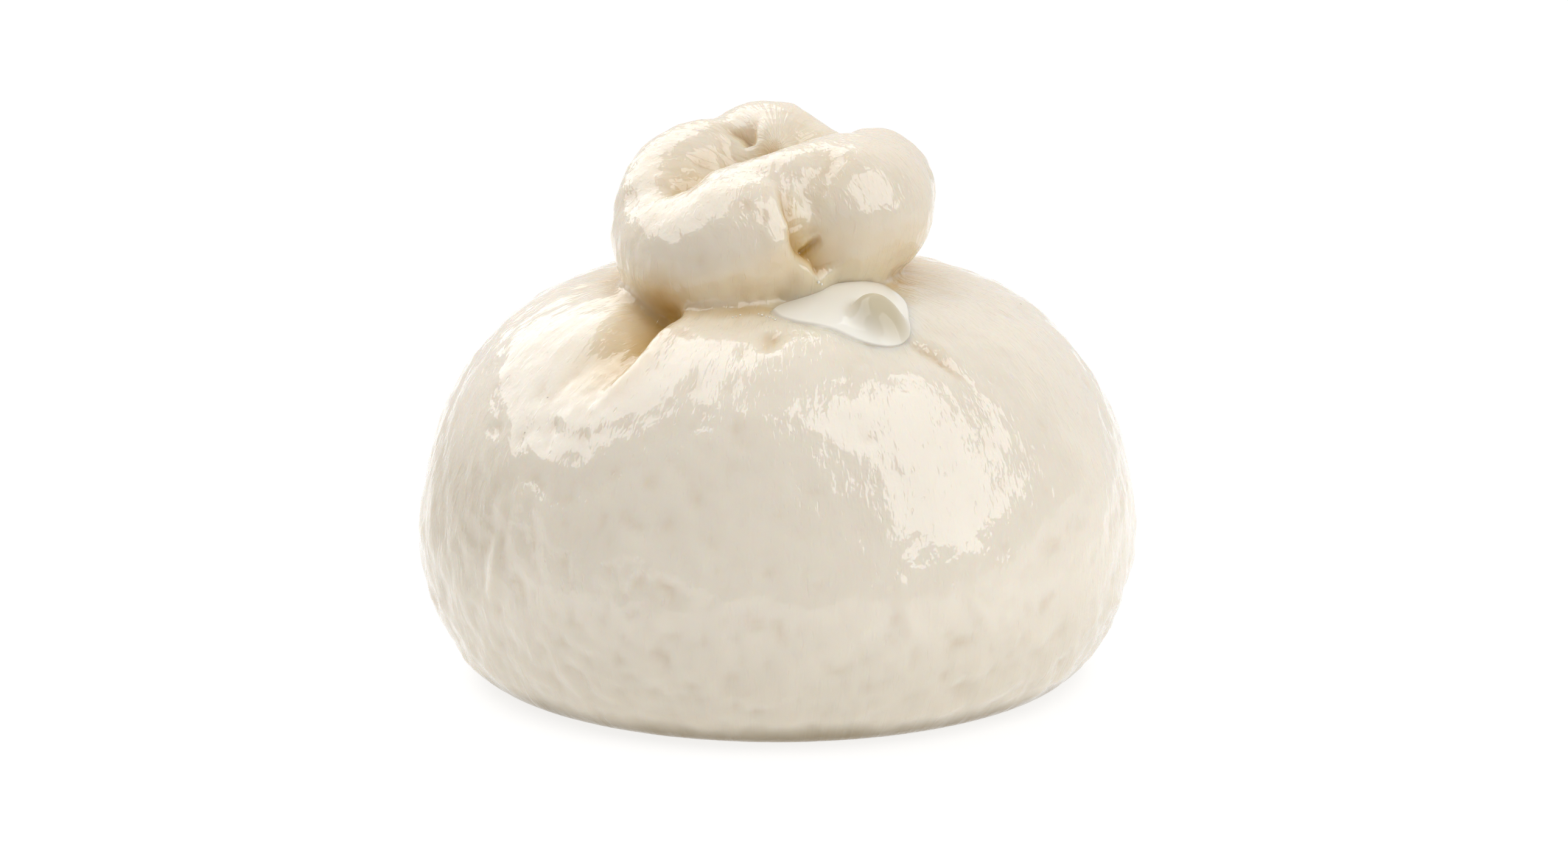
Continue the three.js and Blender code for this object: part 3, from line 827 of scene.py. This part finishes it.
# %% Sockets as numbers
class Value:
    """A number, colour or vector socket that can be used in expressions."""

    def __init__(self, tree, socket):
        self.tree, self.socket = tree, socket

    def node(self, kind, output=0, settings=None, **inputs):
        """Adds a node, sets its settings, then its inputs by name or _number, and wraps one output."""
        made = self.tree.nodes.new(kind)
        for name, setting in (settings or {}).items():
            setattr(made, name, setting)
        for name, value in inputs.items():
            plug(made.inputs[int(name[1:]) if name[0] == "_" else name.replace("_", " ")], value)
        return Value(self.tree, made.outputs[output])

    def maths(self, how, *others):
        """A Math node on this value and the others."""
        inputs = {f"_{index}": value for index, value in enumerate((self, *others))}
        return self.node("ShaderNodeMath", settings={"operation": how}, **inputs)

    def __add__(self, other):
        return self.maths("ADD", other)

    def __sub__(self, other):
        return self.maths("SUBTRACT", other)

    def __rsub__(self, other):
        return self.maths("MULTIPLY_ADD", -1.0, other)

    def __mul__(self, other):
        return self.maths("MULTIPLY", other)

    __radd__, __rmul__ = __add__, __mul__

    def clamp(self, low=0.0, high=1.0):
        """The value, held between low and high."""
        return self.maths("MAXIMUM", low).maths("MINIMUM", high)

    def axis(self, number):
        """One part of the wrapped vector: 0 for x, 1 for y, 2 for z."""
        return self.node("ShaderNodeSeparateXYZ", number, Vector=self)

    def noise(self, scale, detail=2.0, roughness=0.5):
        """Soft random field of the wrapped vector, from 0 to 1."""
        return self.node("ShaderNodeTexNoise", Vector=self, Scale=scale, Detail=detail, Roughness=roughness)

    def stored(self, name, output="Fac"):
        """A value that was stored on the mesh under the name, or a vector with output Vector."""
        return self.node("ShaderNodeAttribute", output, {"attribute_name": name})


# %% [markdown]
# ## From sockets to a material
#
# Four helpers finish the job: one links or sets a socket, one mixes two colours, one brings
# in coordinates, and one makes a material whose constants sit on the shader's own sockets.

# %% Material helpers
def plug(socket, value):
    """Links a wrapped value, or sets a constant, on a socket."""
    if isinstance(value, Value):
        value.tree.links.new(value.socket, socket)
    elif isinstance(value, tuple) and len(value) == 3 and socket.type == "RGBA":
        socket.default_value = (*value, 1.0)
    else:
        socket.default_value = value


def blend(amount, first, second):
    """Colour between first and second by amount, as a Mix node."""
    return amount.node("ShaderNodeMix", 2, {"data_type": "RGBA"}, _0=amount, _6=first, _7=second)


def coordinates(tree, kind):
    """The Texture Coordinate of that kind, wrapped."""
    return Value(tree, tree.nodes.new("ShaderNodeTexCoord").outputs[kind])


def new_material(name, **constants):
    """Material with a Principled shader, whose own sockets take the constants."""
    material = bpy.data.materials.new(name)
    material.use_nodes = True
    shader = material.node_tree.nodes["Principled BSDF"]
    for key, value in constants.items():
        plug(shader.inputs[key.replace("_", " ")], value)
    return material, shader, coordinates(material.node_tree, "Object")


# %% [markdown]
# ## Wet curd
#
# Fresh curd is ivory and lets light sink a few millimetres in, which keeps shadows warm and
# edges soft.  A film of whey makes it shine like varnish, broken up by the fine fibres of
# the stretched curd, so the gloss is sharp and the relief does the rest.  The colour starts
# from a faint mottle, is a little darker on the knot, is then darkened and warmed with painted
# shade from the values stored on the skin (in hollows and under the knot, in creases and
# folds, over the lower part and the left flank, and at the foot), and gets a few dark specks.

# %% Curd colour
# Apart from the ivory tones and the specks, these colours are painted shade: in hollows and under the knot,
# in creases, low down and on the left flank, and at the foot.
IVORY, PALE_IVORY, KNOT_IVORY = (0.82, 0.756, 0.645), (0.87, 0.81, 0.70), (0.73, 0.65, 0.51)
HOLLOW_SHADE, CREASE_SHADE = (0.79, 0.67, 0.47), (0.55, 0.33, 0.07)
LOW_SHADE, FOOT_SHADE, SPECK = (0.575, 0.51, 0.39), (0.23, 0.165, 0.06), (0.25, 0.17, 0.08)
MOTTLE_SCALE, SPECK_SCALE, SPECK_RADIUS, SPECK_EDGE = 140.0, 160.0, 0.03, 60.0

curd, shader, place = new_material(
    "curd", IOR=1.48, Subsurface_Weight=0.6, Subsurface_Scale=0.004, Subsurface_Radius=(1.0, 0.62, 0.34),
    Roughness=0.05, Specular_IOR_Level=1.0)
knot = place.stored("knot")
cells = place.node("ShaderNodeTexVoronoi", Vector=place, Scale=SPECK_SCALE)
speck = ((SPECK_RADIUS - cells) * SPECK_EDGE).clamp()
colour = blend(place.noise(MOTTLE_SCALE), IVORY, PALE_IVORY)
colour = blend(knot * 0.35, colour, KNOT_IVORY)
colour = blend(place.stored("shelter") * 0.9, colour, HOLLOW_SHADE)
colour = blend(place.stored("crease"), colour, CREASE_SHADE)
colour = blend(place.stored("low") * 0.55, colour, LOW_SHADE)
colour = blend(place.stored("foot"), colour, FOOT_SHADE)
plug(shader.inputs["Base Color"], blend(speck * 0.7, colour, SPECK))
skin.materials.clear()
skin.materials.append(curd)
print("curd colour:", len(curd.node_tree.nodes), "nodes")

# %% [markdown]
# ## Fibres under the whey
#
# Only the finest relief is left to the shader: fibres and strokes along the stretch, beads
# of whey, pits and a grain too small for the mesh.  It is one height in tenths of a
# millimetre, given to a Bump node, so it breaks up the gloss and leaves the outline alone.

# %% Curd fibres
BROAD, SHREDS, BEADS, PITS, GRAIN = 0.6, 1.4, 2.1, 3.0, 0.8
BUMP_HEIGHT = 0.0001


def fibres(along, strokes):
    """Height of the fibres drawn along the stretch: broad ones, and fine strokes with flat gaps."""
    return along.noise(0.85, 1.5, 0.45) * BROAD + (along.noise(1.6, 1.0) - 0.52).clamp() * strokes


grain = place.stored("grain", "Vector")
drawn = fibres(grain, 1.0) * (1.0 - knot) + fibres(place.stored("strand", "Vector"), 1.2) * knot
shreds = grain.noise(0.3, 1.0) * SHREDS
beads = (grain.noise(1.1, 1.0) - 0.64).clamp() * BEADS
pits = (grain.noise(2.0, 1.0) - 0.68).clamp() * PITS
height = drawn * place.stored("fibrous") + shreds + beads - pits + place.noise(650.0) * GRAIN
bump = place.node("ShaderNodeBump", Strength=1.0, Distance=BUMP_HEIGHT, Height=height)
plug(shader.inputs["Normal"], bump)
print("curd with its fibres:", len(curd.node_tree.nodes), "nodes")

# %% [markdown]
# ## Cream
#
# Cream is milkier than the curd and has a liquid's mirror surface.  Where it thins out to
# nothing the curd shows through, so it fades with its thickness.  The fat drop is painted
# darker than the film, painted shade for the light that runs through it instead of straight back.

# %% Cream material
FILM_CREAM, DROP_SHADE = (0.93, 0.895, 0.805), (0.58, 0.515, 0.365)

milk, shader, place = new_material(
    "cream", IOR=1.4, Subsurface_Weight=0.25, Subsurface_Scale=0.002, Subsurface_Radius=(1.0, 0.75, 0.5),
    Roughness=0.04, Specular_IOR_Level=0.6)
# The drop's darker colour is painted shade.
plug(shader.inputs["Base Color"], blend(place.stored("drop").clamp(), FILM_CREAM, DROP_SHADE))
plug(shader.inputs["Alpha"], place.stored("film"))
cream.data.materials.clear()
cream.data.materials.append(milk)
print("cream finish:", len(milk.node_tree.nodes), "nodes")

# %% [markdown]
# ## The table
#
# A table whose pale look comes mostly from its own glow, painted light that keeps it evenly
# white behind the cheese.  Its glow is white in a wedge that opens away from the camera and
# dimmer in front and beside it, because a wet skin mirrors all of it, and a table that is
# white all round would wash out the flanks.

# %% Table
TABLE_SIZE, TABLE_GLOW = 8.0, 0.8
WEDGE_HALF, WEDGE_OPENS, WEDGE_EDGE, DIM_BESIDE = 0.102, 0.19, 80.0, 0.6
LIT_BEHIND, LIT_EDGE, DIM_IN_FRONT = -0.36, 3.6, 0.2

bpy.ops.mesh.primitive_plane_add(size=TABLE_SIZE, location=(0, 0, 0))
table = bpy.context.object
table.name = "table"
# The table's brightness is painted light: a grey surface with its own glow.
white, shader, place = new_material(
    "glowing_table", Base_Color=(0.25, 0.25, 0.25), Roughness=0.6, Emission_Strength=TABLE_GLOW)
across, depth = place.axis(0), place.axis(1)
half = depth * WEDGE_OPENS + WEDGE_HALF
beside = ((half * half - across * across) * WEDGE_EDGE + 1.0).clamp(DIM_BESIDE)
lit = (((depth - LIT_BEHIND) * LIT_EDGE).clamp() * beside).clamp(DIM_IN_FRONT)
plug(shader.inputs["Emission Color"], blend(lit, (0.0, 0.0, 0.0), (1.0, 1.0, 1.0)))
table.data.materials.append(white)
print("table:", TABLE_SIZE, "m wide, white wedge", 2000 * WEDGE_HALF, "mm wide at the cheese")

# %% [markdown]
# ## Light
#
# Two soft boxes draw the two broad highlights on the skin: one high behind the left
# shoulder, one high in front on the right.  Neither is seen by the camera itself.

# %% Soft boxes
def soft_box(name, azimuth, elevation, wide, tall, glow, roll=0.0, distance=0.8, aim=(0, 0, 0.035)):
    """Area light placed by direction from the cheese, turned to face it and rolled in its plane.

    Power = pi times its area times its brightness.
    """
    az, el = math.radians(azimuth), math.radians(elevation)
    away = Vector((math.cos(el) * math.sin(az), -math.cos(el) * math.cos(az), math.sin(el)))
    lamp = bpy.data.lights.new(name, "AREA")
    lamp.shape, lamp.size, lamp.size_y = "RECTANGLE", wide, tall
    lamp.energy = math.pi * wide * tall * glow
    piece = bpy.data.objects.new(name, lamp)
    piece.location = Vector(aim) + away * distance
    spin = Quaternion((0, 0, 1), math.radians(roll))
    piece.rotation_euler = (away.to_track_quat("Z", "Y") @ spin).to_euler()
    piece.visible_camera = False
    bpy.context.scene.collection.objects.link(piece)
    return piece


boxes = [soft_box("left box", -122, 50, wide=1.35, tall=0.9, glow=1.6, roll=12),
         soft_box("right box", 58, 40, wide=0.68, tall=0.95, glow=1.9)]
for box in boxes:
    print(box.name, round(box.data.energy, 2), "W")

# %% [markdown]
# ## Sky
#
# An even sky, a shade warmer than white, fills the shadows.  Its brightness depends only on
# how far a direction points to the front or to the back, where it is brighter and rims the
# knot.

# %% Sky
SKY_COLOUR = (1.0, 0.963, 0.94)
SKY_GLOW, FRONT_GLOW, BACK_GLOW = 0.34, 0.05, 0.45
BACK_SLOPE, BACK_FROM = 3.0, 0.7

world = bpy.data.worlds.new("sky")
bpy.context.scene.world = world
world.use_nodes = True
sky = world.node_tree
back = coordinates(sky, "Generated").axis(1)
background = sky.nodes["Background"]
plug(background.inputs["Color"], SKY_COLOUR)
at_back = (back * BACK_SLOPE - BACK_FROM).clamp()
glow = (0.0 - back).clamp() * FRONT_GLOW + SKY_GLOW + at_back * BACK_GLOW
plug(background.inputs["Strength"], glow)
print("sky: brightness from", SKY_GLOW, "to", round(SKY_GLOW + BACK_GLOW, 2))

# %% [markdown]
# ## Camera
#
# The camera stands in front of the cheese, a little above it, with a long lens, which keeps
# the outline of a small round thing from bulging towards the viewer.

# %% Camera
LENS, SENSOR, NEAREST = 100, 36, 0.01
LOOK_FROM, LOOK_DOWN = 0.546, math.radians(13.5)
LOOK_AT = Vector((0.00084, 0, 0.0303))

camera = bpy.data.objects.new("camera", bpy.data.cameras.new("camera"))
camera.data.lens, camera.data.sensor_width, camera.data.clip_start = LENS, SENSOR, NEAREST
camera.location = LOOK_AT + Vector((0, -math.cos(LOOK_DOWN), math.sin(LOOK_DOWN))) * LOOK_FROM
camera.rotation_euler = (math.pi / 2 - LOOK_DOWN, 0, 0)
bpy.context.scene.collection.objects.link(camera)
bpy.context.scene.camera = camera
bpy.context.scene.view_settings.view_transform = "Standard"
print("camera:", LENS, "mm lens, sees", round(1000 * SENSOR / LENS * LOOK_FROM), "mm across at the cheese")
